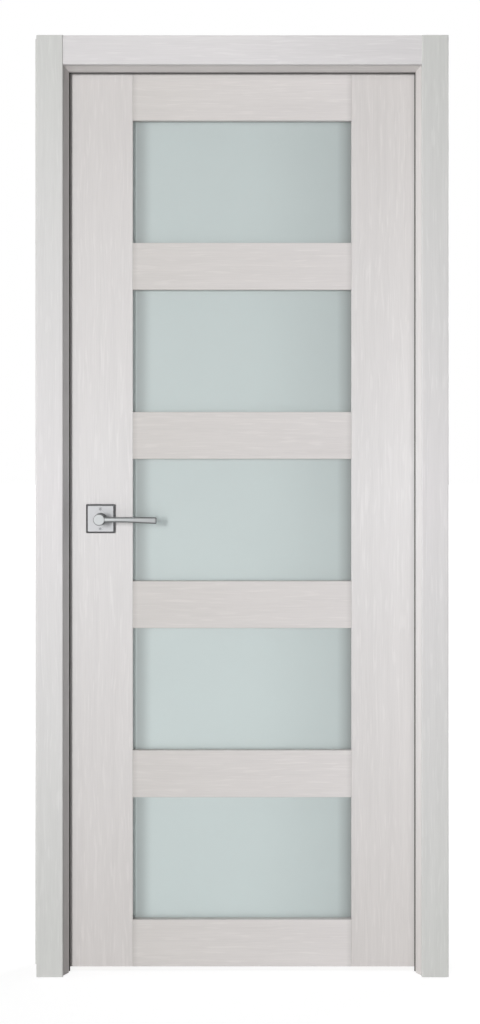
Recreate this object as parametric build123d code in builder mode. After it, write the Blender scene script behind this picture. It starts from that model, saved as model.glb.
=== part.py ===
"""Glazed interior door: a leaf with five matt panes, on butt hinges in a rebated frame with casings.

Millimetres, Z up. Seen from the front, X runs to the right and Y away from the viewer.
The origin is on the hinge jamb's wall face, at floor level, midway through the jamb.
"""
import os

from build123d import *

# Leaf
LEAF_WIDTH = 800.0
LEAF_HEIGHT = 2040.0
LEAF_THICKNESS = 40.0
STILE_WIDTH = 151.0
RAIL_HEIGHT = 107.0
TOP_RAIL_HEIGHT = 114.0
PANE_COUNT = 5
LOCK_BEVEL = 1.75
LEAF_EASE = 0.8

# Glazing
GLASS_THICKNESS = 6.0
GLASS_FIT = 0.3
GROOVE_DEPTH = 13.0
TENON_FIT = 0.1

# Frame
JAMB_DEPTH = 75.0
JAMB_THICKNESS = 22.0
STOP_HEIGHT = 12.0
SHOULDER_GAP = 8.0
SIDE_GAP = 5.5
HEAD_GAP = 5.5
FLOOR_GAP = 8.0
STOP_SPLAY_WIDTH = 9.0
STOP_SPLAY_DEPTH = 16.0

# Casings
SIDE_CASING_WIDTH = 60.0
SIDE_CASING_THICKNESS = 14.0
HEAD_CASING_WIDTH = 66.0
HEAD_CASING_THICKNESS = 12.0
CASING_RADIUS = 2.5
FRONT_REVEAL = 10.0
BACK_REVEAL = 10.0

# Seal
SEAL_WIDTH = 9.0
SEAL_DEPTH = 3.0
SEAL_ROUND = 1.4
SEAL_PROJECTION = 2.5
SEAL_TONGUE_WIDTH = 2.4
SEAL_TONGUE_DEPTH = 6.0
SEAL_FIT = 0.2

# Hinges
HINGE_LENGTH = 100.0
HINGE_PLATE_WIDTH = 30.0
HINGE_PLATE_THICKNESS = 2.5
HINGE_CORNER = 6.0
HINGE_END_DISTANCE = 200.0
HINGE_FIT = 0.2
KNUCKLE_RADIUS = 6.5
KNUCKLE_CLEARANCE = 0.5
KNUCKLE_COUNT = 5
KNUCKLE_GAP = 0.4
PIN_RADIUS = 3.0
PIN_FIT = 0.1
PIN_CAP = 4.0
PIN_CAP_BEVEL = 2.0
HINGE_HOLE_RADIUS = 2.4
HINGE_SINK_RADIUS = 4.4

# Lever set
HANDLE_HEIGHT = 1020.0
BACKSET = 78.0
ROSETTE_SIDE = 66.0
ROSETTE_THICKNESS = 9.0
ROSETTE_CORNER = 2.0
ROSETTE_BEVEL = 4.0
ROSETTE_FIT = 0.4
ROSETTE_SCREW_RADIUS = 3.4
ROSETTE_SCREW_OFFSET = 22.5
NECK_RADIUS = 13.0
NECK_FOOT = 1.0
NECK_ROUND = 2.0
LEVER_PROJECTION = 56.0
LEVER_LENGTH = 129.0
LEVER_THICKNESS = 10.0
LEVER_ROOT_HEIGHT = 13.0
LEVER_WAIST_HEIGHT = 11.6
LEVER_WAIST_SHARE = 0.40
LEVER_SWELL_SHARE = 0.72
LEVER_SWELL_TURN = 0.42
LEVER_TIP_HEIGHT = 15.0
LEVER_TIP_DROP = 2.0
LEVER_TIP_RETURN = 4.0
LEVER_EDGE = 4.4
LEVER_TIP_ROUND = 3.4
SPINDLE_SIDE = 8.0
SPINDLE_FIT = 0.2
SPINDLE_REACH = 34.0
SPINDLE_BORE = 11.0

# Latch and strike
FACEPLATE_LENGTH = 196.0
FACEPLATE_WIDTH = 20.0
FACEPLATE_THICKNESS = 3.0
STRIKE_LENGTH = 120.0
STRIKE_WIDTH = 24.0
STRIKE_THICKNESS = 3.0
STRIKE_POCKET = 14.0
BOLT_HEIGHT = 22.0
BOLT_WIDTH = 12.0
BOLT_LENGTH = 18.0
BOLT_FIT = 0.4
PLATE_FIT = 0.2
PLATE_SCREW_INSET = 12.0
PLATE_HOLE_RADIUS = 2.1
PLATE_SINK_RADIUS = 4.2

# Places that follow from the sizes above
jamb_front = -JAMB_DEPTH / 2
jamb_back = JAMB_DEPTH / 2
leaf_back = jamb_back
leaf_front = leaf_back - LEAF_THICKNESS
leaf_middle = (leaf_front + leaf_back) / 2
shoulder = leaf_front - SHOULDER_GAP
hinge_rebate = -JAMB_THICKNESS
hinge_stop = hinge_rebate - STOP_HEIGHT
leaf_right = hinge_rebate - SIDE_GAP
leaf_left = leaf_right - LEAF_WIDTH
lock_rebate = leaf_left - SIDE_GAP
lock_stop = lock_rebate + STOP_HEIGHT
frame_left = lock_rebate - JAMB_THICKNESS
leaf_bottom = FLOOR_GAP
leaf_top = leaf_bottom + LEAF_HEIGHT
head_rebate = leaf_top + HEAD_GAP
head_stop = head_rebate - STOP_HEIGHT
frame_top = head_rebate + JAMB_THICKNESS
groove_width = GLASS_THICKNESS + 2 * GLASS_FIT
pane_left = leaf_left + STILE_WIDTH
pane_right = leaf_right - STILE_WIDTH
pane_height = (LEAF_HEIGHT - TOP_RAIL_HEIGHT - PANE_COUNT * RAIL_HEIGHT) / PANE_COUNT
pane_pitch = pane_height + RAIL_HEIGHT
seal_inset = (SEAL_WIDTH - SEAL_PROJECTION - SEAL_TONGUE_WIDTH) / 2
hinge_x = (hinge_rebate + leaf_right) / 2
hinge_y = leaf_back + KNUCKLE_RADIUS + KNUCKLE_CLEARANCE
hinge_levels = (
    leaf_bottom + HINGE_END_DISTANCE,
    (leaf_bottom + leaf_top) / 2,
    leaf_top - HINGE_END_DISTANCE,
)
knuckle_length = HINGE_LENGTH / KNUCKLE_COUNT
spindle_x = leaf_left + BACKSET
spindle_z = leaf_bottom + HANDLE_HEIGHT
leaf_plane = Plane.XZ.offset(-leaf_middle)
strike_face = Plane(origin=(lock_rebate, leaf_middle, spindle_z), x_dir=(0, 1, 0), z_dir=(1, 0, 0))
lock_edge = Plane(
    origin=(leaf_left + LOCK_BEVEL / 2, leaf_middle, spindle_z),
    x_dir=(-LOCK_BEVEL, LEAF_THICKNESS, 0),
    z_dir=(-LEAF_THICKNESS, -LOCK_BEVEL, 0),
)
lever_y = leaf_front - LEVER_PROJECTION + (NECK_ROUND + LEVER_THICKNESS) / 2

os.makedirs("parts", exist_ok=True)


def save(piece, name):
    """Label a finished piece and write it to its own file."""
    piece.part.label = name
    export_step(piece.part, f"parts/{name}.step")


def outline(*points):
    """A closed face through the points, in the open sketch."""
    Polygon(*points, align=None)


def rectangle(across, along, mode=Mode.ADD):
    """A rectangle in the open sketch, from its two ranges."""
    with Locations((sum(across) / 2, sum(along) / 2)):
        made = Rectangle(across[1] - across[0], along[1] - along[0], mode=mode)
    return made


# Frame jambs: the side jambs run to the top, and the head stands between them,
# coped over their splayed stops
def splay_points(stop, inward):
    """The splayed front of a stop, from its flat edge by the casing to its flat face."""
    return (
        (stop - inward * STOP_SPLAY_WIDTH, jamb_front),
        (stop, jamb_front + STOP_SPLAY_DEPTH),
    )


def jamb_points(wall, inward):
    """The rebated section of a jamb: depth along Y, with the opening along inward from the wall face."""
    rebate = wall + inward * JAMB_THICKNESS
    stop = rebate + inward * STOP_HEIGHT
    kerf_near = stop - inward * (seal_inset - SEAL_FIT)
    kerf_far = stop - inward * (seal_inset + SEAL_TONGUE_WIDTH + SEAL_FIT)
    kerf_end = shoulder - SEAL_TONGUE_DEPTH - SEAL_FIT
    return (
        (wall, jamb_front),
        *splay_points(stop, inward),
        (stop, shoulder),
        (kerf_near, shoulder),
        (kerf_near, kerf_end),
        (kerf_far, kerf_end),
        (kerf_far, shoulder),
        (rebate, shoulder),
        (rebate, jamb_back),
        (wall, jamb_back),
    )


def hinge_plate(level, fit):
    """The outline of one hinge plate in a sketch across X, with the two corners off the knuckle rounded."""
    half = HINGE_LENGTH / 2 + fit
    plate = rectangle((leaf_back - HINGE_PLATE_WIDTH - fit, leaf_back), (level - half, level + half))
    fillet(plate.vertices().sort_by(Axis.X)[:2], HINGE_CORNER)


with BuildPart() as jamb_hinge_side:
    with BuildSketch(Plane.XY):
        outline(*jamb_points(0.0, -1))
    extrude(amount=frame_top)
    for hinge_level in hinge_levels:
        with BuildSketch(Plane.YZ.offset(hinge_rebate)):
            hinge_plate(hinge_level, HINGE_FIT)
        extrude(amount=HINGE_PLATE_THICKNESS, mode=Mode.SUBTRACT)
save(jamb_hinge_side, "jamb_hinge_side")

with BuildPart() as jamb_lock_side:
    with BuildSketch(Plane.XY):
        outline(*jamb_points(frame_left, 1))
    extrude(amount=frame_top)
    with BuildSketch(strike_face):
        SlotOverall(STRIKE_LENGTH + 2 * PLATE_FIT, STRIKE_WIDTH + 2 * PLATE_FIT, rotation=90)
    extrude(amount=-STRIKE_THICKNESS, mode=Mode.SUBTRACT)
    with BuildSketch(strike_face):
        Rectangle(BOLT_WIDTH + 2 * BOLT_FIT, BOLT_HEIGHT + 2 * BOLT_FIT)
    extrude(amount=-STRIKE_POCKET, mode=Mode.SUBTRACT)
save(jamb_lock_side, "jamb_lock_side")

with BuildPart() as jamb_head:
    with BuildSketch(Plane.YZ.offset(lock_rebate)):
        outline(*((depth, height) for height, depth in jamb_points(frame_top, -1)))
    extrude(amount=hinge_rebate - lock_rebate)
    for stop_face, rebate_face, opening_side in (
        (lock_stop, lock_rebate, 1),
        (hinge_stop, hinge_rebate, -1),
    ):
        with BuildSketch(Plane.XY.offset(head_stop)):
            outline(
                (rebate_face, jamb_front),
                *splay_points(stop_face, opening_side),
                (stop_face, shoulder),
                (rebate_face, shoulder),
            )
        extrude(amount=frame_top - head_stop, mode=Mode.SUBTRACT)
save(jamb_head, "jamb_head")


# Seals: a rounded strip on the shoulder of each jamb, with a tongue in its kerf
def seal_strip(stop, inward):
    """The section of a seal's strip, which stands past the stop along inward."""
    near = stop + inward * SEAL_PROJECTION
    strip = rectangle(sorted((near, near - inward * SEAL_WIDTH)), (shoulder, shoulder + SEAL_DEPTH))
    fillet(strip.vertices().sort_by(Axis.Y)[2:], SEAL_ROUND)


def seal_tongue(stop, inward):
    """The section of the tongue that holds a seal in its kerf."""
    near = stop - inward * seal_inset
    rectangle(sorted((near, near - inward * SEAL_TONGUE_WIDTH)), (shoulder - SEAL_TONGUE_DEPTH, shoulder))


for seal_name, stop_face, opening_side in (
    ("seal_hinge_side", hinge_stop, -1),
    ("seal_lock_side", lock_stop, 1),
):
    with BuildPart() as seal:
        with BuildSketch(Plane.XY):
            seal_strip(stop_face, opening_side)
            seal_tongue(stop_face, opening_side)
        extrude(amount=head_stop - SEAL_PROJECTION - SEAL_FIT)
    save(seal, seal_name)

with BuildPart() as seal_head:
    for seal_section, from_x, to_x in (
        (seal_strip, lock_rebate + SEAL_FIT, hinge_rebate - SEAL_FIT),
        (seal_tongue, lock_stop + SEAL_FIT, hinge_stop - SEAL_FIT),
    ):
        with BuildSketch(Plane(origin=(from_x, 0, 0), x_dir=(0, 0, 1), z_dir=(-1, 0, 0))):
            seal_section(head_stop, -1)
        extrude(amount=from_x - to_x)
save(seal_head, "seal_head")

# Casings: flat boards with eased arrises, the head board between the side boards
for face_name, wall_face, outward, inner_left, inner_right, inner_top in (
    (
        "front",
        jamb_front,
        -1,
        lock_stop - FRONT_REVEAL,
        hinge_stop + FRONT_REVEAL,
        head_stop + FRONT_REVEAL,
    ),
    (
        "back",
        jamb_back,
        1,
        lock_rebate - BACK_REVEAL,
        hinge_rebate + BACK_REVEAL,
        head_rebate + BACK_REVEAL,
    ),
):
    show = wall_face + outward * SIDE_CASING_THICKNESS
    for side_name, inner, away in (("lock_side", inner_left, -1), ("hinge_side", inner_right, 1)):
        with BuildPart() as casing:
            with BuildSketch(Plane.XY):
                board = rectangle(
                    sorted((inner, inner + away * SIDE_CASING_WIDTH)),
                    sorted((wall_face, show)),
                )
                fillet(board.vertices().filter_by_position(Axis.Y, show, show), CASING_RADIUS)
            extrude(amount=inner_top + HEAD_CASING_WIDTH)
        save(casing, f"casing_{face_name}_{side_name}")
    head_show = wall_face + outward * HEAD_CASING_THICKNESS
    with BuildPart() as casing_head:
        with BuildSketch(Plane.YZ.offset(inner_left)):
            board = rectangle(sorted((wall_face, head_show)), (inner_top, inner_top + HEAD_CASING_WIDTH))
            fillet(board.vertices().filter_by_position(Axis.X, head_show, head_show), CASING_RADIUS)
        extrude(amount=inner_right - inner_left)
    save(casing_head, f"casing_{face_name}_head")

# Leaf stiles: one groove each for glass and tenons
def ease(piece):
    """Break the arrises of a leaf board's two faces."""
    by_depth = piece.faces().filter_by(Axis.Y).sort_by(Axis.Y)
    chamfer(by_depth[0].edges() + by_depth[-1].edges(), LEAF_EASE)


with BuildPart() as stile_lock:
    with BuildSketch(Plane.XY.offset(leaf_bottom)):
        outline(
            (leaf_left + LOCK_BEVEL, leaf_front),
            (pane_left, leaf_front),
            (pane_left, leaf_back),
            (leaf_left, leaf_back),
        )
        rectangle(
            (pane_left - GROOVE_DEPTH, pane_left),
            (leaf_middle - groove_width / 2, leaf_middle + groove_width / 2),
            mode=Mode.SUBTRACT,
        )
    extrude(amount=LEAF_HEIGHT)
    ease(stile_lock)
    with BuildSketch(lock_edge):
        SlotOverall(FACEPLATE_LENGTH + 2 * PLATE_FIT, FACEPLATE_WIDTH + 2 * PLATE_FIT, rotation=90)
    extrude(amount=-FACEPLATE_THICKNESS, mode=Mode.SUBTRACT)
    with BuildSketch(lock_edge):
        Rectangle(BOLT_WIDTH + 2 * BOLT_FIT, BOLT_HEIGHT + 2 * BOLT_FIT)
    extrude(amount=-BOLT_LENGTH - BOLT_FIT, mode=Mode.SUBTRACT)
    with BuildSketch(Plane.XZ.offset(-leaf_front)):
        with Locations((spindle_x, spindle_z)):
            Circle(SPINDLE_BORE)
    extrude(amount=-LEAF_THICKNESS, mode=Mode.SUBTRACT)
save(stile_lock, "stile_lock_side")

with BuildPart() as stile_hinge:
    with BuildSketch(Plane.XY.offset(leaf_bottom)):
        rectangle((pane_right, leaf_right), (leaf_front, leaf_back))
        rectangle(
            (pane_right, pane_right + GROOVE_DEPTH),
            (leaf_middle - groove_width / 2, leaf_middle + groove_width / 2),
            mode=Mode.SUBTRACT,
        )
    extrude(amount=LEAF_HEIGHT)
    ease(stile_hinge)
    for hinge_level in hinge_levels:
        with BuildSketch(Plane.YZ.offset(leaf_right)):
            hinge_plate(hinge_level, HINGE_FIT)
        extrude(amount=-HINGE_PLATE_THICKNESS, mode=Mode.SUBTRACT)
save(stile_hinge, "stile_hinge_side")

# Leaf rails: grooved where a pane enters, with stub tenons in the stile grooves
for index in range(PANE_COUNT + 1):
    top_rail = index == PANE_COUNT
    low = leaf_bottom + index * pane_pitch
    high = leaf_top if top_rail else low + RAIL_HEIGHT
    tenon_low = low + (GROOVE_DEPTH if index > 0 else 0)
    tenon_high = high - (0 if top_rail else GROOVE_DEPTH)
    groove = (leaf_middle - groove_width / 2, leaf_middle + groove_width / 2)
    with BuildPart() as rail:
        with BuildSketch(Plane.YZ.offset(pane_left)):
            rectangle((leaf_front, leaf_back), (low, high))
            if index > 0:
                rectangle(groove, (low, tenon_low), mode=Mode.SUBTRACT)
            if not top_rail:
                rectangle(groove, (tenon_high, high), mode=Mode.SUBTRACT)
        extrude(amount=pane_right - pane_left)
        ease(rail)
        with BuildSketch(Plane.YZ.offset(pane_left - GROOVE_DEPTH + GLASS_FIT)):
            rectangle((groove[0] + TENON_FIT, groove[1] - TENON_FIT), (tenon_low, tenon_high))
        extrude(amount=pane_right - pane_left + 2 * (GROOVE_DEPTH - GLASS_FIT))
    save(rail, f"rail_{index + 1}")

# Panes
for index in range(PANE_COUNT):
    low = leaf_bottom + RAIL_HEIGHT + index * pane_pitch
    lap = GROOVE_DEPTH - GLASS_FIT
    with BuildPart() as pane:
        with BuildSketch(Plane.XZ.offset(-(leaf_middle - GLASS_THICKNESS / 2))):
            rectangle((pane_left - lap, pane_right + lap), (low - lap, low + pane_height + lap))
        extrude(amount=-GLASS_THICKNESS)
    save(pane, f"pane_{index + 1}")

# Hinges: a plate let into the jamb, a plate let into the leaf, and a capped pin
def hinge_half(level, face, into, own):
    """One half of a butt hinge: its plate on the face, sunk along into, and the knuckles it owns."""
    with BuildPart() as half:
        with BuildSketch(Plane.YZ.offset(face)):
            hinge_plate(level, 0)
        extrude(amount=into * HINGE_PLATE_THICKNESS)
        for number in own:
            low = level - HINGE_LENGTH / 2 + number * knuckle_length + KNUCKLE_GAP / 2
            with BuildSketch(Plane.XY.offset(low)):
                with Locations((hinge_x, hinge_y)):
                    Circle(KNUCKLE_RADIUS)
                rectangle(
                    sorted((face, face + into * HINGE_PLATE_THICKNESS)),
                    (leaf_back - HINGE_PLATE_THICKNESS, hinge_y),
                )
                with Locations((hinge_x, hinge_y)):
                    Circle(PIN_RADIUS + PIN_FIT, mode=Mode.SUBTRACT)
            extrude(amount=knuckle_length - KNUCKLE_GAP)
        screw_column = leaf_back - HINGE_PLATE_WIDTH / 2
        show_face = Plane(origin=(face, 0, 0), x_dir=(0, -into, 0), z_dir=(-into, 0, 0))
        with Locations(show_face):
            with Locations(
                *(
                    (-into * (screw_column + shift * HINGE_PLATE_WIDTH / 6), level + step * HINGE_LENGTH / 3)
                    for step, shift in ((-1, 1), (0, -1), (1, 1))
                )
            ):
                CounterSinkHole(HINGE_HOLE_RADIUS, HINGE_SINK_RADIUS, HINGE_PLATE_THICKNESS)
    return half


for number, level in enumerate(hinge_levels, start=1):
    save(hinge_half(level, hinge_rebate, 1, range(0, KNUCKLE_COUNT, 2)), f"hinge_{number}_frame_half")
    save(hinge_half(level, leaf_right, -1, range(1, KNUCKLE_COUNT, 2)), f"hinge_{number}_leaf_half")
    cap_foot = (HINGE_LENGTH + KNUCKLE_GAP) / 2
    with BuildPart() as pin:
        with BuildSketch(Plane.XY.offset(level - cap_foot)):
            with Locations((hinge_x, hinge_y)):
                Circle(PIN_RADIUS)
        extrude(amount=2 * cap_foot)
        for end, way in ((level - cap_foot, -1), (level + cap_foot, 1)):
            with BuildSketch(Plane.XY.offset(end)):
                with Locations((hinge_x, hinge_y)):
                    Circle(KNUCKLE_RADIUS)
            extrude(amount=way * PIN_CAP)
        cap_faces = pin.faces().sort_by(Axis.Z)
        chamfer(cap_faces[0].edges() + cap_faces[-1].edges(), PIN_CAP_BEVEL)
    save(pin, f"hinge_{number}_pin")

# Latch in the lock edge and its strike in the jamb
def plate_holes(face, length, thickness):
    """Two countersunk holes in a plate that shows on the face, one near each end."""
    reach = length / 2 - PLATE_SCREW_INSET
    with Locations(face):
        with Locations((0, -reach), (0, reach)):
            CounterSinkHole(PLATE_HOLE_RADIUS, PLATE_SINK_RADIUS, thickness)


with BuildPart() as latch_faceplate:
    with BuildSketch(lock_edge):
        SlotOverall(FACEPLATE_LENGTH, FACEPLATE_WIDTH, rotation=90)
        Rectangle(BOLT_WIDTH + 2 * BOLT_FIT, BOLT_HEIGHT + 2 * BOLT_FIT, mode=Mode.SUBTRACT)
    extrude(amount=-FACEPLATE_THICKNESS)
    plate_holes(lock_edge, FACEPLATE_LENGTH, FACEPLATE_THICKNESS)
save(latch_faceplate, "latch_faceplate")

with BuildPart() as latch_bolt:
    with BuildSketch(lock_edge):
        Rectangle(BOLT_WIDTH, BOLT_HEIGHT)
    extrude(amount=-BOLT_LENGTH)
save(latch_bolt, "latch_bolt")

with BuildPart() as strike_plate:
    with BuildSketch(strike_face):
        SlotOverall(STRIKE_LENGTH, STRIKE_WIDTH, rotation=90)
        Rectangle(BOLT_WIDTH + 2 * BOLT_FIT, BOLT_HEIGHT + 2 * BOLT_FIT, mode=Mode.SUBTRACT)
    extrude(amount=-STRIKE_THICKNESS)
    plate_holes(strike_face, STRIKE_LENGTH, STRIKE_THICKNESS)
save(strike_plate, "strike_plate")

# Lever set: the front pieces are drawn and the back ones mirrored through the leaf
with BuildPart() as rosette_front:
    with BuildSketch(Plane.XZ.offset(-leaf_front)):
        with Locations((spindle_x, spindle_z)):
            RectangleRounded(ROSETTE_SIDE, ROSETTE_SIDE, ROSETTE_CORNER)
    extrude(amount=ROSETTE_THICKNESS - ROSETTE_BEVEL)
    for inset in (0.0, ROSETTE_BEVEL):
        side = ROSETTE_SIDE - 2 * inset
        with BuildSketch(Plane.XZ.offset(-leaf_front + ROSETTE_THICKNESS - ROSETTE_BEVEL + inset)):
            with Locations((spindle_x, spindle_z)):
                RectangleRounded(side, side, ROSETTE_CORNER)
    loft(ruled=True)
    with BuildSketch(Plane.XZ.offset(-leaf_front)):
        with Locations((spindle_x, spindle_z)):
            Circle(NECK_RADIUS + ROSETTE_FIT)
            with Locations((0, -ROSETTE_SCREW_OFFSET), (0, ROSETTE_SCREW_OFFSET)):
                Circle(ROSETTE_SCREW_RADIUS)
    extrude(amount=ROSETTE_THICKNESS, mode=Mode.SUBTRACT)
save(rosette_front, "rosette_front")

with BuildPart() as rosette_back:
    mirror(rosette_front.part, about=leaf_plane)
save(rosette_back, "rosette_back")

lever_sections = (
    (0.0, LEVER_ROOT_HEIGHT, 0.0),
    (LEVER_WAIST_SHARE, LEVER_WAIST_HEIGHT, 0.0),
    (LEVER_SWELL_SHARE, (LEVER_WAIST_HEIGHT + LEVER_TIP_HEIGHT) / 2, LEVER_SWELL_TURN),
    (1.0, LEVER_TIP_HEIGHT, 1.0),
)
with BuildPart() as lever_front:
    with BuildSketch(Plane.XZ.offset(-leaf_front + NECK_FOOT)):
        with Locations((spindle_x, spindle_z)):
            Circle(NECK_RADIUS)
    extrude(amount=LEVER_PROJECTION - NECK_FOOT)
    fillet(lever_front.faces().sort_by(Axis.Y)[0].edges(), NECK_ROUND)
    for share, height, turn in lever_sections:
        section = Plane(
            origin=(
                spindle_x + share * LEVER_LENGTH,
                lever_y + turn * LEVER_TIP_RETURN,
                spindle_z - turn * LEVER_TIP_DROP,
            ),
            x_dir=(0, 0, 1),
            z_dir=(1, 0, 0),
        )
        with BuildSketch(section):
            RectangleRounded(height, LEVER_THICKNESS, LEVER_EDGE)
    loft()
    fillet(lever_front.faces().sort_by(Axis.X)[-1].edges(), LEVER_TIP_ROUND)
    with BuildSketch(Plane.XZ.offset(-leaf_front + NECK_FOOT)):
        with Locations((spindle_x, spindle_z)):
            Rectangle(SPINDLE_SIDE + 2 * SPINDLE_FIT, SPINDLE_SIDE + 2 * SPINDLE_FIT)
    extrude(amount=SPINDLE_REACH, mode=Mode.SUBTRACT)
save(lever_front, "lever_front")

with BuildPart() as lever_back:
    mirror(lever_front.part, about=leaf_plane)
save(lever_back, "lever_back")

with BuildPart() as spindle:
    with BuildSketch(leaf_plane):
        with Locations((spindle_x, spindle_z)):
            Rectangle(SPINDLE_SIDE, SPINDLE_SIDE)
    extrude(amount=LEAF_THICKNESS / 2 + NECK_FOOT + SPINDLE_REACH - SPINDLE_FIT, both=True)
save(spindle, "spindle")
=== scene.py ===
"""Dresses the glazed interior door.

Finishes its boards, panes, seals and metal, adds its small fasteners and sets up the stage.
"""

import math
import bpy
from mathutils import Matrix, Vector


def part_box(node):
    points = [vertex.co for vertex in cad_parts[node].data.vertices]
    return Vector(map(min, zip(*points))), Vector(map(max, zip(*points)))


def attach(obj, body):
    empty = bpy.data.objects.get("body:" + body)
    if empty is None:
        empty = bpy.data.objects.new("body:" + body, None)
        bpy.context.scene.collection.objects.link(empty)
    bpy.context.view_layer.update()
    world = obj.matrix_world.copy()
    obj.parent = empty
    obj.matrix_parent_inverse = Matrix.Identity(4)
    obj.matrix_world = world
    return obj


bl_info = {
    "name": "Glazed Interior Door",
    "version": (1, 0, 0),
    "blender": (4, 5, 0),
    "location": "View3D > Sidebar > Door",
    "description": "Finishes, small fasteners and studio stage for a glazed interior door",
    "category": "Object",
}

import bmesh
import bpy
from bpy.props import FloatProperty, FloatVectorProperty, PointerProperty
from mathutils import Matrix, Vector

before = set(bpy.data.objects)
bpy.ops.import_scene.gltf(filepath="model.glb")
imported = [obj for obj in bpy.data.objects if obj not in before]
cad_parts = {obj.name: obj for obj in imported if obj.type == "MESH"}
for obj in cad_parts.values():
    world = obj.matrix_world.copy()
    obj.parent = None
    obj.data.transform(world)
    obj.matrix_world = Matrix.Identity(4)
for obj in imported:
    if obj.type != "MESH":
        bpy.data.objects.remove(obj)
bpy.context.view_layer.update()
PICTURE_WIDTH = 480
PICTURE_HEIGHT = 1024


def nodes_named(*starts):
    """The CAD nodes whose names begin with one of starts."""
    return [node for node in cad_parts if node.startswith(starts)]


UPRIGHT_BOARDS = nodes_named("stile_", "jamb_lock", "jamb_hinge")
HEAD_JAMB = nodes_named("jamb_head")
SIDE_CASINGS = [node for node in nodes_named("casing_") if node.endswith("_side")]
HEAD_CASINGS = [node for node in nodes_named("casing_") if node.endswith("_head")]
CROSS_RAILS = nodes_named("rail_")
PANES = nodes_named("pane_")
SEALS = nodes_named("seal_")
LEVERS = nodes_named("lever_")
ROSETTES = nodes_named("rosette_")
HINGE_PIECES = nodes_named("hinge_")
LATCH_PIECES = nodes_named("latch_", "strike_", "spindle")

# Turns that lay a finish: as it is, or a quarter turn about Y, which swaps X and Z
NO_TURN = (0.0, 0.0, 0.0)
QUARTER_TURN = (0.0, math.radians(90.0), 0.0)

# Board grain: scale across it, scale along it and detail of each kind of streak
BROAD_STREAKS = (75.0, 2.2, 3.0)
FINE_STREAKS = (480.0, 11.0, 2.0)
FLECKS = (220.0, 16.0, 0.0)
FLECK_RANGE = (0.60, 0.76)
FLECK_WEIGHT = 0.42
PORE_RANGE = (0.30, 0.48)
SWAY_DEPTH = 0.012
STREAK_GLOSS = 0.12

# Boards: how squarely a cut end faces along the grain, and how painted sheen and painted light
# change the ground colour
CUT_END_RANGE = (0.90, 0.97)
SHEEN_PEAK_HEIGHT = 1.08
UPRIGHT_SHEEN_FADE = 1.0
HEAD_END_LIGHT_FALLOFF = 0.93

# Glass: where its painted shadow bands along the upright edges rise and end, as shares of their
# width, and where painted light makes it lighter
LOCK_SHADOW_PEAK = 1 / 4
LOCK_SHADOW_START = (1 / 12, 1 / 5)
HINGE_SHADOW_WIDTH = 0.7
FOOT_LIGHT_HEIGHTS = (1.9, 0.2)

# Rubber
SEAL_COLOUR = (0.050, 0.050, 0.048)
SEAL_BLOOM = (0.095, 0.093, 0.090)

# Metal: roughness, how far painted shade darkens a side beside a front face, and where a face
# counts as a front
SATIN_ROUGHNESS = 0.5
STEEL_ROUGHNESS = 0.32
SCREW_ROUGHNESS = 0.36
LEVER_PAINTED_SIDE_SHADE = 0.62
ROSETTE_PAINTED_SIDE_SHADE = 0.5
STEEL_PAINTED_SIDE_SHADE = 0.9
PAINTED_SHADE_FRONT_RANGE = (0.74, 0.97)
BRUSH_SCALE = (60.0, 1800.0, 1800.0)

# Screw heads: sides, cross and foot as shares of the radius and of the depth, and spin
SCREW_SIDES = 20
CROSS_REACH = 0.62
CROSS_HALF_WIDTH = 0.15
CROSS_DEPTH = 0.6
SCREW_FOOT = 0.62
SCREW_SPIN = 0.4

# Grub screws: sides, wall, socket and length as shares of the radius, and how deep they sit
GRUB_SIDES = 24
GRUB_WALL = 0.4
GRUB_SOCKET = 0.8
GRUB_LENGTH = 1.4
GRUB_SINK = 0.0001

# Places of the screws: a hinge screw has a step along its plate and a shift across it
ROSETTE_SCREW_REACH = 0.0225
ROSETTE_SCREW_SINK = 0.0004
ROSETTE_SCREW_DEPTH = 0.002
PLATE_SCREW_DEPTH = 0.0019
PLATE_SCREW_INSET = 0.012
PLATE_FACE_COSINE = 0.9
HINGE_SCREW_SINK = 0.0002
HINGE_NUMBERS = (1, 2, 3)
HINGE_SCREW_STEPS = ((-1, 1), (0, -1), (1, 1))
SPIN_PER_STEP = 0.5
SPIN_PER_HINGE = 0.3

# Stage: each lamp's name, place from the aim, size and the setting that holds its power
LAMPS = (
    ("Key lamp", (-10.8, -30.0, 2.6), (3.0, 9.0), "key_power"),
    ("Low lamp", (-1.8, -3.2, -0.95), (2.4, 0.3), "low_power"),
    ("Side lamp", (-7.0, -0.9, 1.2), (1.6, 2.4), "side_power"),
    ("Top lamp", (0.0, 0.0, 7.2), (2.4, 2.4), "top_power"),
    ("Back lamp", (6.4, 6.6, 1.6), (2.4, 2.4), "back_power"),
)
AIM_HEIGHT = 1.1
SENSOR_WIDTH = 36.0
FLOOR_REACH = 30.0
FLOOR_ROUGHNESS = 0.9
FLOOR_GLOW = 1.32
GLOW_AT_DOOR = 0.65
GLOW_RANGE = (0.7, 3.0)

# Colour sockets of a Mix node
MIX_FIRST = 6
MIX_SECOND = 7
MIX_RESULT = 2


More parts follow.
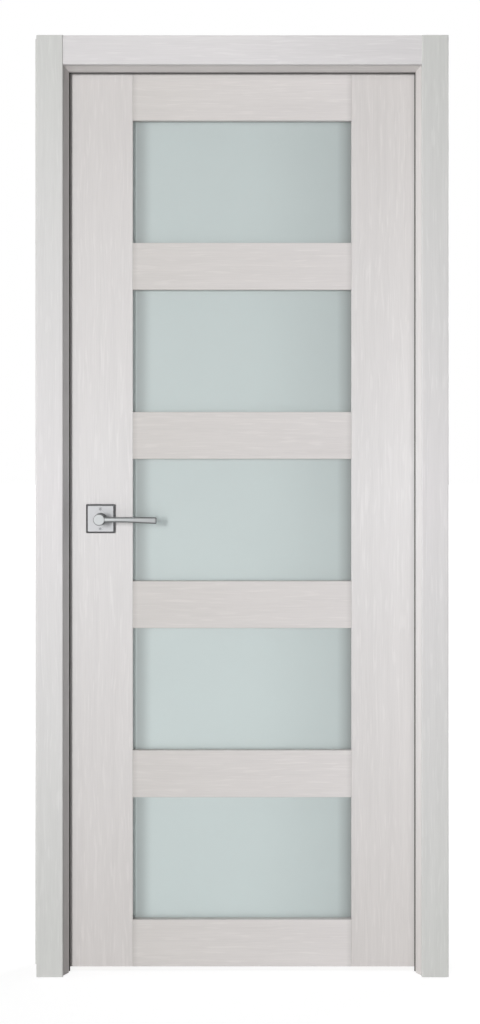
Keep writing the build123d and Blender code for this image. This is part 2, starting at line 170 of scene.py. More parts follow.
# Settings
class DOOR_PG_laminate(bpy.types.PropertyGroup):
    """Board colours and grain"""

    # Painted sheen: the middle colours are painted lighter than the end colours, so upright boards
    # and side casings look lit at lever height
    upright_sheen_middle: FloatVectorProperty(
        name="Upright middle",
        description="Colour of an upright board at lever height",
        subtype="COLOR",
        default=(0.745, 0.728, 0.728),
    )
    upright_sheen_end: FloatVectorProperty(
        name="Upright end",
        description="Colour of an upright board at its foot and top, and of the head jamb",
        subtype="COLOR",
        default=(0.624, 0.597, 0.585),
    )
    casing_sheen_middle: FloatVectorProperty(
        name="Casing middle",
        description="Colour of a side casing at lever height",
        subtype="COLOR",
        default=(0.730, 0.710, 0.716),
    )
    casing_sheen_end: FloatVectorProperty(
        name="Casing end",
        description="Colour of a side casing at its foot and top",
        subtype="COLOR",
        default=(0.584, 0.588, 0.571),
    )
    # Painted sheen: rails are painted lighter from the lock side towards the hinge side
    rail_sheen_lock_side: FloatVectorProperty(
        name="Rail at lock side",
        description="Colour of a rail beside the lock stile",
        subtype="COLOR",
        default=(0.624, 0.597, 0.578),
    )
    rail_sheen_hinge_side: FloatVectorProperty(
        name="Rail at hinge side",
        description="Colour of a rail beside the hinge stile",
        subtype="COLOR",
        default=(0.680, 0.650, 0.642),
    )
    # Painted light: head casings are painted lighter in the middle than at their ends
    head_painted_light_colour: FloatVectorProperty(
        name="Head casing",
        description="Colour of the casings over the leaf, at their middle",
        subtype="COLOR",
        default=(0.720, 0.700, 0.705),
    )
    core_colour: FloatVectorProperty(
        name="Board core",
        description="Colour of the pressed fibre core where a board is cut across",
        subtype="COLOR",
        default=(0.46, 0.36, 0.25),
    )
    streak: FloatProperty(
        name="Grain streak",
        description="How far the grain lightens and darkens a board",
        subtype="FACTOR",
        default=0.12,
        min=0.0,
        max=0.3,
    )
    roughness: FloatProperty(
        name="Roughness",
        description="Roughness of the board film",
        subtype="FACTOR",
        default=0.46,
        min=0.0,
        max=1.0,
    )
    # Painted shade: a soft dark line painted where a rail meets a stile, with its width and depth
    joint_painted_shade: FloatProperty(
        name="Joint shade",
        description="Width of the shaded line where a rail meets a stile",
        unit="LENGTH",
        default=0.014,
    )
    joint_painted_shade_depth: FloatProperty(
        name="Joint depth",
        description="How dark the shaded line is",
        subtype="FACTOR",
        default=0.13,
        min=0.0,
        max=1.0,
    )


class DOOR_PG_glass(bpy.types.PropertyGroup):
    """Matt glass"""

    colour: FloatVectorProperty(
        name="Glass",
        description="Colour of the matt face",
        subtype="COLOR",
        default=(0.570, 0.632, 0.627),
    )
    # Painted shade: a painted shadow band along each upright edge and a slow painted shade towards
    # the hinge side
    band: FloatProperty(
        name="Side band",
        description="Width of the darker band along each upright edge",
        unit="LENGTH",
        default=0.046,
    )
    lock_shadow_depth: FloatProperty(
        name="Lock side depth",
        description="How dark the lock side band is",
        subtype="FACTOR",
        default=0.34,
        min=0.0,
        max=1.0,
    )
    hinge_shadow_depth: FloatProperty(
        name="Hinge side depth",
        description="How dark the hinge side band is",
        subtype="FACTOR",
        default=0.39,
        min=0.0,
        max=1.0,
    )
    fade: FloatProperty(
        name="Slow fade",
        description="Width of the slow fade towards the hinge side",
        unit="LENGTH",
        default=0.24,
    )
    slow_shade_depth: FloatProperty(
        name="Fade depth",
        description="How dark the slow fade is",
        subtype="FACTOR",
        default=0.11,
        min=0.0,
        max=1.0,
    )
    # Painted light that lifts the lowest pane
    foot_painted_light: FloatProperty(
        name="Foot gain",
        description="How much lighter the lowest pane is",
        subtype="FACTOR",
        default=0.12,
        min=0.0,
        max=1.0,
    )


class DOOR_PG_metal(bpy.types.PropertyGroup):
    """Lever, hinges and fasteners"""

    lever_colour: FloatVectorProperty(
        name="Lever metal",
        description="Colour of the satin levers",
        subtype="COLOR",
        default=(0.257, 0.265, 0.267),
    )
    rosette_colour: FloatVectorProperty(
        name="Rosette metal",
        description="Colour of the satin rosettes",
        subtype="COLOR",
        default=(0.264, 0.266, 0.272),
    )
    steel_colour: FloatVectorProperty(
        name="Steel",
        description="Colour of hinges, latch and strike",
        subtype="COLOR",
        default=(0.52, 0.53, 0.53),
    )
    screw_colour: FloatVectorProperty(
        name="Screw",
        description="Colour of the screw heads",
        subtype="COLOR",
        default=(0.16, 0.165, 0.17),
    )
    hinge_screw: FloatProperty(
        name="Hinge screw head",
        description="Radius of a hinge screw's head",
        unit="LENGTH",
        default=0.0041,
    )
    latch_screw: FloatProperty(
        name="Latch screw head",
        description="Radius of a screw head on the faceplate and strike plate",
        unit="LENGTH",
        default=0.0040,
    )
    grub_screw: FloatProperty(
        name="Grub screw",
        description="Radius of the screw that holds a lever on the spindle",
        unit="LENGTH",
        default=0.0022,
    )
    grub_offset: FloatProperty(
        name="Grub offset",
        description="From the rosette's face to the grub screw",
        unit="LENGTH",
        default=0.012,
    )
    rosette_screw: FloatProperty(
        name="Rosette screw head",
        description="Radius of a rosette screw's head",
        unit="LENGTH",
        default=0.0030,
    )


class DOOR_PG_stage(bpy.types.PropertyGroup):
    """Camera, lamps and floor"""

    distance: FloatProperty(
        name="Camera distance",
        description="From the camera to the leaf's front face",
        unit="LENGTH",
        default=3.7,
    )
    millimetres_per_pixel: FloatProperty(
        name="Scale",
        description="Millimetres on the leaf's face that one picture row covers",
        default=2.277,
    )
    horizon_row: FloatProperty(
        name="Horizon",
        description="Picture row of the camera's height",
        subtype="PIXEL",
        default=425.0,
    )
    eye_column: FloatProperty(
        name="Eye",
        description="Picture column of the camera's place",
        subtype="PIXEL",
        default=222.4,
    )
    foot_row: FloatProperty(
        name="Leaf foot",
        description="Picture row of the leaf's lower edge",
        subtype="PIXEL",
        default=966.5,
    )
    middle_column: FloatProperty(
        name="Middle",
        description="Picture column of the leaf's middle",
        subtype="PIXEL",
        default=242.2,
    )
    key_power: FloatProperty(
        name="Key lamp",
        description="Power of the tall front lamp",
        unit="POWER",
        default=7050.0,
    )
    low_power: FloatProperty(
        name="Low lamp",
        description="Power of the low front lamp",
        unit="POWER",
        default=6.0,
    )
    side_power: FloatProperty(
        name="Side lamp",
        description="Power of the lock side lamp",
        unit="POWER",
        default=90.0,
    )
    top_power: FloatProperty(
        name="Top lamp",
        description="Power of the lamp overhead",
        unit="POWER",
        default=70.0,
    )
    back_power: FloatProperty(
        name="Back lamp",
        description="Power of the lamp behind",
        unit="POWER",
        default=560.0,
    )
    sky: FloatProperty(
        name="Surround",
        description="Strength of the even light from all round",
        default=0.155,
    )
    floor_colour: FloatVectorProperty(
        name="Floor",
        description="Colour of the studio floor",
        subtype="COLOR",
        default=(0.78, 0.78, 0.78),
    )


# Node helpers
def fill(tree, node, inputs):
    """Set or link a node's inputs."""
    for name, value in inputs.items():
        if isinstance(value, bpy.types.NodeSocket):
            tree.links.new(value, node.inputs[name])
        else:
            node.inputs[name].default_value = value


def add(tree, kind, inputs, **settings):
    """Add a node, with its settings, and set or link its inputs."""
    node = tree.nodes.new(kind)
    for name, value in settings.items():
        setattr(node, name, value)
    fill(tree, node, inputs)
    return node


def maths(tree, operation, *values):
    """A Math node's result."""
    node = add(tree, "ShaderNodeMath", dict(enumerate(values)), operation=operation)
    return node.outputs["Value"]


def ramp(tree, value, start, end, shape="LINEAR"):
    """A ramp of value from 0 at start to 1 at end."""
    inputs = {"Value": value, "From Min": start, "From Max": end}
    return add(tree, "ShaderNodeMapRange", inputs, interpolation_type=shape).outputs["Result"]


def fade_in(tree, value, start, end):
    """A smooth step of value from 0 at start to 1 at end."""
    return ramp(tree, value, start, end, "SMOOTHSTEP")


def split(tree, vector):
    """The X, Y and Z of a vector, by name."""
    return add(tree, "ShaderNodeSeparateXYZ", {"Vector": vector}).outputs


def blend(tree, factor, first, second):
    """A colour between first and second."""
    inputs = {"Factor": factor}
    for socket, value in ((MIX_FIRST, first), (MIX_SECOND, second)):
        linked = isinstance(value, bpy.types.NodeSocket)
        inputs[socket] = value if linked else (*value, 1.0)
    return add(tree, "ShaderNodeMix", inputs, data_type="RGBA").outputs[MIX_RESULT]


def dim(tree, colour, factor):
    """A colour multiplied by a value."""
    inputs = {0: colour, "Scale": factor}
    return add(tree, "ShaderNodeVectorMath", inputs, operation="SCALE").outputs["Vector"]


def noise(tree, vector, scale, detail, roughness=0.5):
    """Noise between 0 and 1."""
    inputs = {"Vector": vector, "Scale": scale, "Detail": detail, "Roughness": roughness}
    return add(tree, "ShaderNodeTexNoise", inputs).outputs["Fac"]


def vary(tree, value, middle, spread):
    """A value around middle that follows noise by spread."""
    return maths(tree, "MULTIPLY_ADD", value, spread, middle - spread / 2)


def raised(tree, height, strength, depth):
    """The normal of a surface that height raises."""
    inputs = {"Height": height, "Strength": strength, "Distance": depth}
    return add(tree, "ShaderNodeBump", inputs).outputs["Normal"]


def turned(tree, vector, turn):
    """A vector turned about the origin."""
    inputs = {"Vector": vector, "Rotation": turn}
    return add(tree, "ShaderNodeMapping", inputs).outputs["Vector"]


def seen_directly(tree):
    """1 where the camera, a reflection or a view through glass meets a surface, else 0."""
    path = tree.nodes.new("ShaderNodeLightPath")
    seen = maths(tree, "MAXIMUM", path.outputs["Is Camera Ray"], path.outputs["Is Glossy Ray"])
    return maths(tree, "MAXIMUM", seen, path.outputs["Is Transmission Ray"])


def new_group(name, outputs):
    """A shader node group from a vector to named values, its vector and its output node."""
    group = bpy.data.node_groups.new(name, "ShaderNodeTree")
    group.interface.new_socket("Vector", in_out="INPUT", socket_type="NodeSocketVector")
    for socket in outputs:
        group.interface.new_socket(socket, in_out="OUTPUT", socket_type="NodeSocketFloat")
    given = group.nodes.new("NodeGroupInput")
    return group, given.outputs["Vector"], group.nodes.new("NodeGroupOutput")


def new_material(name):
    """A material with its Principled shader, and the coordinates of its object."""
    material = bpy.data.materials.new(name)
    material.use_nodes = True
    tree = material.node_tree
    shader = tree.nodes["Principled BSDF"]
    coordinates = tree.nodes.new("ShaderNodeTexCoord")
    return material, tree, shader, coordinates


def dress(nodes, material):
    """Give a material to CAD nodes."""
    for name in nodes:
        slots = bpy.data.objects[name].material_slots
        if slots:
            slots[0].material = material
        else:
            bpy.data.objects[name].data.materials.append(material)


# Effects that several finishes share
def grain_group():
    """Streaks along the third axis of the vector with short pale flecks, and the pores' height."""
    group, vector, result = new_group("Board grain", ("Streak", "Height"))
    sway = add(group, "ShaderNodeTexNoise", {"Vector": vector, "Scale": 5.0, "Detail": 1.0})
    bend = dim(group, sway.outputs["Color"], SWAY_DEPTH)
    wavy = add(group, "ShaderNodeVectorMath", {0: vector, 1: bend}).outputs["Vector"]

    def streaks(across, along, detail):
        """Noise that is drawn out along the grain."""
        inputs = {"Vector": wavy, "Scale": (across, across, along)}
        drawn = add(group, "ShaderNodeMapping", inputs).outputs["Vector"]
        return noise(group, drawn, scale=1.0, detail=detail, roughness=0.55)

    broad = streaks(*BROAD_STREAKS)
    fine = streaks(*FINE_STREAKS)
    fleck = fade_in(group, streaks(*FLECKS), *FLECK_RANGE)
    both = maths(group, "SUBTRACT", maths(group, "ADD", broad, fine), 1.0)
    streak = maths(group, "MULTIPLY_ADD", fleck, FLECK_WEIGHT, both)
    fill(group, result, {"Streak": streak, "Height": fade_in(group, fine, *PORE_RANGE)})
    return group


def brushed_group():
    """Fine scratches along the first axis of the vector."""
    group, vector, result = new_group("Brushed metal", ("Scratch",))
    drawn = add(group, "ShaderNodeMapping", {"Vector": vector, "Scale": BRUSH_SCALE})
    scratch = noise(group, drawn.outputs["Vector"], scale=1.0, detail=2.0, roughness=0.6)
    fill(group, result, {"Scratch": scratch})
    return group


def shared(tree, name, maker, vector):
    """Place a shared node group, which is made on first use, and return its outputs."""
    group = bpy.data.node_groups.get(name) or maker()
    return add(tree, "ShaderNodeGroup", {"Vector": vector}, node_tree=group).outputs


# Finishes
def laminate(name, colour_of, turn, settings):
    """A matt printed board film: colour_of gives its ground colour, and turn lays the grain."""
    material, tree, shader, coordinates = new_material(name)
    position = coordinates.outputs["Object"]
    grain = shared(tree, "Board grain", grain_group, turned(tree, position, turn))
    tone = maths(tree, "MULTIPLY_ADD", grain["Streak"], settings.streak, 1.0)
    film = dim(tree, colour_of(tree, position), tone)
    along = split(tree, turned(tree, coordinates.outputs["Normal"], turn))["Z"]
    cut_end = fade_in(tree, maths(tree, "ABSOLUTE", along), *CUT_END_RANGE)
    fibres = noise(tree, position, scale=700.0, detail=3.0)
    core = dim(tree, settings.core_colour, vary(tree, fibres, middle=1.0, spread=0.5))
    fill(tree, shader, {
        "Base Color": blend(tree, cut_end, film, core),
        "Roughness": maths(tree, "MULTIPLY_ADD", grain["Streak"], STREAK_GLOSS, settings.roughness),
        "Normal": raised(tree, grain["Height"], strength=0.25, depth=0.0002),
        "Specular IOR Level": 0.35,
    })
    return material


def upright_sheen_colour(middle, end):
    """Upright boards carry a painted sheen: they are painted lightest at lever height and a little
    darker towards both ends.
    """

    def colour_of(tree, position):
        height = split(tree, position)["Z"]
        away = maths(tree, "ABSOLUTE", maths(tree, "SUBTRACT", height, SHEEN_PEAK_HEIGHT))
        return blend(tree, ramp(tree, away, 0.0, UPRIGHT_SHEEN_FADE), middle, end)

    return colour_of


def rail_sheen_and_shade_colour(settings, left, right):
    """Rails carry a painted sheen that makes them a little lighter towards the hinge side, and
    painted shade along each joint with a stile.
    """

    def colour_of(tree, position):
        across = split(tree, position)["X"]
        share = ramp(tree, across, left, right)
        board = blend(tree, share, settings.rail_sheen_lock_side, settings.rail_sheen_hinge_side)
        from_left = maths(tree, "SUBTRACT", across, left)
        from_right = maths(tree, "SUBTRACT", right, across)
        # Painted shade at both joints with the stiles
        painted_joint_shade = maths(
            tree,
            "ADD",
            fade_in(tree, from_left, settings.joint_painted_shade, 0.0),
            fade_in(tree, from_right, settings.joint_painted_shade, 0.0),
        )
        shade = maths(tree, "MULTIPLY", painted_joint_shade, settings.joint_painted_shade_depth)
        return dim(tree, board, maths(tree, "SUBTRACT", 1.0, shade))

    return colour_of


def head_painted_light_colour(settings, left, right):
    """Head casings carry painted light: they are painted lightest in the middle and darker towards
    their ends.
    """

    def colour_of(tree, position):
        across = split(tree, position)["X"]
        away = maths(tree, "ABSOLUTE", maths(tree, "SUBTRACT", across, (left + right) / 2))
        end = [HEAD_END_LIGHT_FALLOFF * channel for channel in settings.head_painted_light_colour]
        return blend(tree, ramp(tree, away, 0.0, (right - left) / 2), settings.head_painted_light_colour, end)

    return colour_of


def matt_glass(settings, left, right):
    """Satin glass with painted shadow bands along its two upright edges, a slow painted shade
    towards the hinge side, and painted light that makes it a little lighter towards the floor.
    """
    material, tree, shader, coordinates = new_material("Matt glass")
    position = coordinates.outputs["Object"]
    place = split(tree, position)
    from_left = maths(tree, "SUBTRACT", place["X"], left)
    from_right = maths(tree, "SUBTRACT", right, place["X"])
    band = settings.band
    # Painted shadow bands along the lock and hinge edges
    left_shadow_start = ramp(tree, from_left, *(band * share for share in LOCK_SHADOW_START))
    left_shadow_inner = fade_in(tree, from_left, band, band * LOCK_SHADOW_PEAK)
    left_shadow = maths(tree, "MULTIPLY", left_shadow_inner, left_shadow_start)
    right_shadow = ramp(tree, from_right, band * HINGE_SHADOW_WIDTH, 0.0)
    # Painted shade that deepens slowly towards the hinge side
    slow = fade_in(tree, from_right, settings.fade, 0.0)
    left_painted_shade = maths(tree, "MULTIPLY", left_shadow, settings.lock_shadow_depth)
    bands = maths(tree, "MULTIPLY_ADD", right_shadow, settings.hinge_shadow_depth, left_painted_shade)
    shade = maths(tree, "MULTIPLY_ADD", slow, settings.slow_shade_depth, bands)
    cloud = vary(tree, noise(tree, position, scale=6.0, detail=2.0), middle=1.0, spread=0.03)
    clouded_and_shaded = maths(tree, "MULTIPLY", maths(tree, "SUBTRACT", 1.0, shade), cloud)
    # Painted light: the panes are painted lighter towards the floor
    lower = ramp(tree, place["Z"], *FOOT_LIGHT_HEIGHTS)
    gain = maths(tree, "MULTIPLY_ADD", lower, settings.foot_painted_light, 1.0)
    etch = noise(tree, position, scale=1400.0, detail=1.0)
    fill(tree, shader, {
        "Base Color": dim(tree, settings.colour, maths(tree, "MULTIPLY", clouded_and_shaded, gain)),
        "Roughness": vary(tree, etch, middle=0.47, spread=0.1),
        "Normal": raised(tree, etch, strength=0.12, depth=0.0001),
        "Transmission Weight": 0.45,
        "IOR": 1.5,
    })
    return material


def seal_rubber():
    """Soft dark rubber with a faint bloom."""
    material, tree, shader, coordinates = new_material("Seal rubber")
    bloom = noise(tree, coordinates.outputs["Object"], scale=60.0, detail=3.0)
    fill(tree, shader, {
        "Base Color": blend(tree, bloom, SEAL_COLOUR, SEAL_BLOOM),
        "Roughness": vary(tree, bloom, middle=0.65, spread=0.2),
    })
    return material


def satin_metal(name, colour, roughness, painted_side_shade, turn):
    """Brushed metal: faces that look along Y are bright, and the sides get painted shade, a darker
    colour that stands for dark reflections.
    """
    material, tree, shader, coordinates = new_material(name)
    laid = turned(tree, coordinates.outputs["Object"], turn)
    scratch = shared(tree, "Brushed metal", brushed_group, laid)["Scratch"]
    facing = maths(tree, "ABSOLUTE", split(tree, coordinates.outputs["Normal"])["Y"])
    # Painted shade: sides are painted darker than front faces, standing for dark reflections
    side = [channel * painted_side_shade for channel in colour]
    ground = blend(tree, fade_in(tree, facing, *PAINTED_SHADE_FRONT_RANGE), side, colour)
    fill(tree, shader, {
        "Base Color": dim(tree, ground, vary(tree, scratch, middle=1.0, spread=0.12)),
        "Roughness": vary(tree, scratch, middle=roughness, spread=0.14),
        "Normal": raised(tree, scratch, strength=0.08, depth=0.00005),
        "Metallic": 1.0,
    })
    return material


def steel_finish(settings):
    """The satin steel of hinges, latch and strike, brushed upright."""
    name = "Satin steel"
    return bpy.data.materials.get(name) or satin_metal(
        name, settings.steel_colour, STEEL_ROUGHNESS, STEEL_PAINTED_SIDE_SHADE, QUARTER_TURN
    )


def screw_finish(settings):
    """The darker steel of all screw heads."""
    name = "Screw steel"
    return bpy.data.materials.get(name) or satin_metal(
        name, settings.screw_colour, SCREW_ROUGHNESS, STEEL_PAINTED_SIDE_SHADE, NO_TURN
    )


# Small pieces
def of_type(items, kind):
    """The items of a bmesh operator's result that are of one kind."""
    return [item for item in items["geom"] if isinstance(item, kind)]


def finish_mesh(name, mesh, material, body):
    """Turn a bmesh into a piece that rides on a body."""
    bmesh.ops.recalc_face_normals(mesh, faces=mesh.faces)
    data = bpy.data.meshes.new(name)
    mesh.to_mesh(data)
    mesh.free()
    data.materials.append(material)
    piece = bpy.data.objects.new(name, data)
    bpy.context.scene.collection.objects.link(piece)
    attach(piece, body)


def disc(mesh, radius, sides):
    """Add a flat disc to a bmesh and list its one face."""
    verts = bmesh.ops.create_circle(mesh, cap_ends=True, radius=radius, segments=sides)["verts"]
    return list({face for vert in verts for face in vert.link_faces})


def screw_head(mesh, radius, depth, place):
    """Add a cross-recessed countersunk head to a bmesh: its flat top looks along place's Z axis."""
    top = disc(mesh, radius, SCREW_SIDES)
    arm = radius * CROSS_REACH
    half = radius * CROSS_HALF_WIDTH
    for axis in (Vector((1, 0, 0)), Vector((0, 1, 0))):
        for step in (-arm, -half, half, arm):
            geometry = set(top)
            for face in top:
                geometry.update(face.edges)
                geometry.update(face.verts)
            cut = bmesh.ops.bisect_plane(
                mesh, geom=list(geometry), plane_co=axis * step, plane_no=axis
            )
            top = of_type(cut, bmesh.types.BMFace)
    verts = {vert for face in top for vert in face.verts}
    recess = []
    for face in top:
        middle = face.calc_center_median()
        spread = sorted((abs(middle.x), abs(middle.y)))
        if spread[0] < half and spread[1] < arm:
            recess.append(face)
    edges = {edge for face in top for edge in face.edges}
    rim = [edge for edge in edges if len(edge.link_faces) == 1]
    sunk = of_type(bmesh.ops.extrude_face_region(mesh, geom=recess), bmesh.types.BMVert)
    bmesh.ops.translate(mesh, verts=sunk, vec=(0, 0, -depth * CROSS_DEPTH))
    bmesh.ops.delete(mesh, geom=recess, context="FACES_ONLY")
    skirt = bmesh.ops.extrude_edge_only(mesh, edges=rim)
    foot = of_type(skirt, bmesh.types.BMVert)
    bmesh.ops.translate(mesh, verts=foot, vec=(0, 0, -depth))
    bmesh.ops.scale(mesh, verts=foot, vec=(SCREW_FOOT, SCREW_FOOT, 1.0))
    bmesh.ops.contextual_create(mesh, geom=of_type(skirt, bmesh.types.BMEdge))
    made = [vert for vert in verts | set(sunk) | set(foot) if vert.is_valid]
    bmesh.ops.transform(mesh, verts=made, matrix=place)


def grub_screw(mesh, radius, place):
    """Add a small socket screw to a bmesh: its open end looks along place's Z axis."""
    top = disc(mesh, radius, GRUB_SIDES)
    rim = list(top[0].edges)
    bmesh.ops.inset_region(mesh, faces=top, thickness=radius * GRUB_WALL)
    socket = of_type(bmesh.ops.extrude_face_region(mesh, geom=top), bmesh.types.BMVert)
    bmesh.ops.translate(mesh, verts=socket, vec=(0, 0, -radius * GRUB_SOCKET))
    bmesh.ops.delete(mesh, geom=top, context="FACES_ONLY")
    body = bmesh.ops.extrude_edge_only(mesh, edges=rim)
    end = of_type(body, bmesh.types.BMVert)
    bmesh.ops.translate(mesh, verts=end, vec=(0, 0, -radius * GRUB_LENGTH))
    bmesh.ops.contextual_create(mesh, geom=of_type(body, bmesh.types.BMEdge))
    bmesh.ops.transform(mesh, verts=mesh.verts, matrix=place)


def facing_matrix(point, direction, spin=0.0):
    """A place at point whose Z axis looks along direction, spun about it."""
    turn = Vector(direction).to_track_quat("Z", "Y").to_matrix().to_4x4()
    return Matrix.Translation(point) @ turn @ Matrix.Rotation(spin, 4, "Z")


def shown_face(node, way):
    """The direction of a plate's largest face that looks along way on X, and a point on it."""
    polygons = bpy.data.objects[node].data.polygons
    faces = [face for face in polygons if face.normal.x * way > PLATE_FACE_COSINE]
    largest = max(faces, key=lambda face: face.area)
    return largest.normal.copy(), largest.center.copy()


def glazed_span():
    """The X of the two stiles' inner edges, lock side first."""
    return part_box("stile_lock_side")[1].x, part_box("stile_hinge_side")[0].x


# Operators
class DOOR_OT_boards(bpy.types.Operator):
    """Finish the stiles, rails, jambs and casings"""

    bl_idname = "door.boards"
    bl_label = "Boards"

    def execute(self, context):
        settings = context.scene.door_laminate
        head_low, head_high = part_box("casing_front_head")
        upright = upright_sheen_colour(settings.upright_sheen_middle, settings.upright_sheen_end)
        casing = upright_sheen_colour(settings.casing_sheen_middle, settings.casing_sheen_end)
        rail = rail_sheen_and_shade_colour(settings, *glazed_span())
        head = head_painted_light_colour(settings, head_low.x, head_high.x)
        # The colours of uprights, side casings, rails and head casings carry painted sheen, painted
        # light and painted shade
        for nodes, name, colour_of, turn in (
            (UPRIGHT_BOARDS, "Upright board", upright, NO_TURN),
            (HEAD_JAMB, "Head jamb", upright, QUARTER_TURN),
            (SIDE_CASINGS, "Side casing", casing, NO_TURN),
            (CROSS_RAILS, "Cross rail", rail, QUARTER_TURN),
            (HEAD_CASINGS, "Head casing", head, QUARTER_TURN),
        ):
            dress(nodes, laminate(name, colour_of, turn, settings))
        return {"FINISHED"}


class DOOR_OT_panes(bpy.types.Operator):
    """Finish the matt panes"""

    bl_idname = "door.panes"
    bl_label = "Panes"

    def execute(self, context):
        dress(PANES, matt_glass(context.scene.door_glass, *glazed_span()))
        return {"FINISHED"}


class DOOR_OT_seals(bpy.types.Operator):
    """Finish the frame seals"""

    bl_idname = "door.seals"
    bl_label = "Seals"

    def execute(self, context):
        dress(SEALS, seal_rubber())
        return {"FINISHED"}


class DOOR_OT_lever_set(bpy.types.Operator):
    """Finish the lever set and add its rosette screws and grub screws"""

    bl_idname = "door.lever_set"
    bl_label = "Lever set"

    def execute(self, context):
        settings = context.scene.door_metal
        for nodes, name, colour, painted_side_shade in (
            (LEVERS, "Satin lever metal", settings.lever_colour, LEVER_PAINTED_SIDE_SHADE),
            (ROSETTES, "Satin rosette metal", settings.rosette_colour, ROSETTE_PAINTED_SIDE_SHADE),
        ):
            dress(nodes, satin_metal(name, colour, SATIN_ROUGHNESS, painted_side_shade, NO_TURN))
        finish = screw_finish(settings)
        for face, way in (("front", -1), ("back", 1)):
            low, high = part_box(f"rosette_{face}")
            middle = (low + high) / 2
            show = low.y if way < 0 else high.y
            mesh = bmesh.new()
            for end in (-1, 1):
                point = Vector((
                    middle.x,
                    show - way * ROSETTE_SCREW_SINK,
                    middle.z + end * ROSETTE_SCREW_REACH,
                ))
                place = facing_matrix(point, (0, way, 0), SCREW_SPIN)
                screw_head(mesh, settings.rosette_screw, ROSETTE_SCREW_DEPTH, place)
            finish_mesh(f"rosette_screws_{face}", mesh, finish, "leaf")
            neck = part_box(f"lever_{face}")[0].z
            point = Vector((middle.x, show + way * settings.grub_offset, neck + GRUB_SINK))
            mesh = bmesh.new()
            grub_screw(mesh, settings.grub_screw, facing_matrix(point, (0, 0, -1)))
            finish_mesh(f"lever_grub_screw_{face}", mesh, finish, "lever")
        return {"FINISHED"}


class DOOR_OT_hinges(bpy.types.Operator):
    """Finish the hinges and add their screws"""

    bl_idname = "door.hinges"
    bl_label = "Hinges"

    def execute(self, context):
        settings = context.scene.door_metal
        dress(HINGE_PIECES, steel_finish(settings))
        finish = screw_finish(settings)
        leaf_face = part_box("stile_hinge_side")[1].x
        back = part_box("jamb_hinge_side")[1].y
        for half, way in (("frame", -1), ("leaf", 1)):
            mesh = bmesh.new()
            for number in HINGE_NUMBERS:
                low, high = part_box(f"hinge_{number}_{half}_half")
                plate = leaf_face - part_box(f"hinge_{number}_leaf_half")[0].x
                face = leaf_face if way > 0 else high.x - plate
                plate_width = back - low.y
                middle = (low.z + high.z) / 2
                for step, shift in HINGE_SCREW_STEPS:
                    # A third of the plate's height apart, a sixth of its width off its middle line
                    point = Vector((
                        face - way * HINGE_SCREW_SINK,
                        back - plate_width / 2 + shift * plate_width / 6,
                        middle + step * (high.z - low.z) / 3,
                    ))
                    # Each head on a half stops at its own angle
                    spin = SPIN_PER_STEP * step + SPIN_PER_HINGE * number
                    place = facing_matrix(point, (way, 0, 0), spin)
                    screw_head(mesh, settings.hinge_screw, PLATE_SCREW_DEPTH, place)
            finish_mesh(f"hinge_screws_{half}", mesh, finish, half)
        return {"FINISHED"}


class DOOR_OT_latch(bpy.types.Operator):
    """Finish the latch, its strike and the spindle and add the two plates' screws"""

    bl_idname = "door.latch"
    bl_label = "Latch and strike"

    def execute(self, context):
        settings = context.scene.door_metal
        dress(LATCH_PIECES, steel_finish(settings))
        finish = screw_finish(settings)
        for node, body, way in (("latch_faceplate", "leaf", -1), ("strike_plate", "frame", 1)):
            low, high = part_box(node)
            middle = (low + high) / 2
            reach = (high.z - low.z) / 2 - PLATE_SCREW_INSET
            outward, on_face = shown_face(node, way)
            mesh = bmesh.new()
            for end in (-1, 1):
                point = Vector((on_face.x, middle.y, middle.z + end * reach))
                point -= outward * (point - on_face).dot(outward)
                place = facing_matrix(point, outward, SCREW_SPIN * end)
                screw_head(mesh, settings.latch_screw, PLATE_SCREW_DEPTH, place)
            finish_mesh(f"{node}_screws", mesh, finish, body)
        return {"FINISHED"}


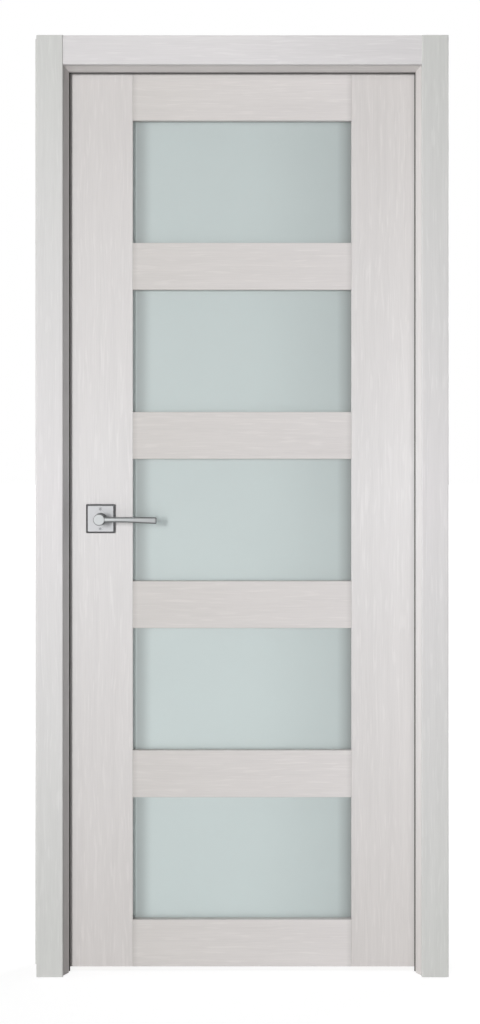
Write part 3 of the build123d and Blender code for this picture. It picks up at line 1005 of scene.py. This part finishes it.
class DOOR_OT_stage(bpy.types.Operator):
    """Set up the camera, lamps, surround and floor"""

    bl_idname = "door.stage"
    bl_label = "Stage"

    def execute(self, context):
        settings = context.scene.door_stage
        scene = context.scene
        scene.view_settings.view_transform = "Standard"
        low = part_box("stile_lock_side")[0]
        middle = (low.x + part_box("stile_hinge_side")[1].x) / 2
        self.camera(scene, settings, middle, low)
        aim = Vector((middle, low.y, AIM_HEIGHT))
        for name, offset, size, power in LAMPS:
            self.lamp(scene, name, aim, Vector(offset), size, getattr(settings, power))
        self.surround(scene, settings)
        self.floor(scene, settings, aim)
        return {"FINISHED"}

    def camera(self, scene, settings, middle, low):
        """A level camera: its picture is shifted until the leaf's foot and middle are in place."""
        scale = settings.millimetres_per_pixel / 1000.0
        data = bpy.data.cameras.new("Camera")
        data.sensor_width = SENSOR_WIDTH
        data.lens = settings.distance * data.sensor_width / (PICTURE_HEIGHT * scale)
        data.shift_x = (PICTURE_WIDTH / 2 - settings.eye_column) / PICTURE_HEIGHT
        data.shift_y = (settings.horizon_row - PICTURE_HEIGHT / 2) / PICTURE_HEIGHT
        camera = bpy.data.objects.new("Camera", data)
        camera.location = (
            middle + (settings.eye_column - settings.middle_column) * scale,
            low.y - settings.distance,
            low.z + (settings.foot_row - settings.horizon_row) * scale,
        )
        camera.rotation_euler = (math.radians(90.0), 0.0, 0.0)
        scene.collection.objects.link(camera)
        scene.camera = camera

    def lamp(self, scene, name, aim, offset, size, power):
        """A soft rectangular lamp that looks at aim."""
        data = bpy.data.lights.new(name, "AREA")
        data.shape = "RECTANGLE"
        data.size, data.size_y = size
        data.energy = power
        lamp = bpy.data.objects.new(name, data)
        lamp.location = aim + offset
        lamp.rotation_euler = (aim - lamp.location).to_track_quat("-Z", "Y").to_euler()
        scene.collection.objects.link(lamp)

    def surround(self, scene, settings):
        """Even light all round, and plain white where the camera or a reflection looks past."""
        world = bpy.data.worlds.new("Surround")
        scene.world = world
        world.use_nodes = True
        tree = world.node_tree
        inputs = {"Value": seen_directly(tree), "To Min": settings.sky, "To Max": 1.0}
        strength = add(tree, "ShaderNodeMapRange", inputs).outputs["Result"]
        background = {"Color": (1.0, 1.0, 1.0, 1.0), "Strength": strength}
        fill(tree, tree.nodes["Background"], background)

    def floor(self, scene, settings, aim):
        """A wide pale floor that keeps the door's shadow and turns white away from the door."""
        mesh = bmesh.new()
        bmesh.ops.create_grid(mesh, x_segments=1, y_segments=1, size=FLOOR_REACH)
        bmesh.ops.translate(mesh, verts=mesh.verts, vec=(aim.x, aim.y, 0.0))
        data = bpy.data.meshes.new("studio_floor")
        mesh.to_mesh(data)
        mesh.free()
        floor = bpy.data.objects.new("studio_floor", data)
        scene.collection.objects.link(floor)
        material, tree, shader, coordinates = new_material("Studio floor")
        position = coordinates.outputs["Object"]
        mottle = vary(tree, noise(tree, position, scale=3.0, detail=2.0), middle=1.0, spread=0.02)
        fill(tree, shader, {
            "Base Color": dim(tree, settings.floor_colour, mottle),
            "Roughness": FLOOR_ROUGHNESS,
        })
        white = {"Color": (1.0, 1.0, 1.0, 1.0), "Strength": FLOOR_GLOW}
        glow = add(tree, "ShaderNodeEmission", white).outputs["Emission"]
        ends = {0: position, 1: (aim.x, aim.y, 0.0)}
        away = add(tree, "ShaderNodeVectorMath", ends, operation="DISTANCE").outputs["Value"]
        far = fade_in(tree, away, *GLOW_RANGE)
        rise = maths(tree, "MULTIPLY_ADD", far, 1.0 - GLOW_AT_DOOR, GLOW_AT_DOOR)
        share = maths(tree, "MULTIPLY", seen_directly(tree), rise)
        mixed = add(tree, "ShaderNodeMixShader", {0: share, 1: shader.outputs["BSDF"], 2: glow})
        fill(tree, tree.nodes["Material Output"], {"Surface": mixed.outputs["Shader"]})
        data.materials.append(material)


class DOOR_PT_panel(bpy.types.Panel):
    """Lists the door's finishing steps"""

    bl_idname = "DOOR_PT_panel"
    bl_label = "Glazed Interior Door"
    bl_space_type = "VIEW_3D"
    bl_region_type = "UI"
    bl_category = "Door"

    def draw(self, context):
        for step in STEPS:
            self.layout.operator(step.bl_idname)


SETTINGS = {
    "door_laminate": DOOR_PG_laminate,
    "door_glass": DOOR_PG_glass,
    "door_metal": DOOR_PG_metal,
    "door_stage": DOOR_PG_stage,
}
STEPS = (
    DOOR_OT_boards,
    DOOR_OT_panes,
    DOOR_OT_seals,
    DOOR_OT_lever_set,
    DOOR_OT_hinges,
    DOOR_OT_latch,
    DOOR_OT_stage,
)


def register():
    for name, group in SETTINGS.items():
        bpy.utils.register_class(group)
        setattr(bpy.types.Scene, name, PointerProperty(type=group))
    for step in (*STEPS, DOOR_PT_panel):
        bpy.utils.register_class(step)


def unregister():
    for step in (DOOR_PT_panel, *reversed(STEPS)):
        bpy.utils.unregister_class(step)
    for name, group in SETTINGS.items():
        delattr(bpy.types.Scene, name)
        bpy.utils.unregister_class(group)


def main():
    """Register the add-on and dress the door."""
    register()
    for step in STEPS:
        category, action = step.bl_idname.split(".")
        getattr(getattr(bpy.ops, category), action)()


if __name__ == "__main__":
    main()
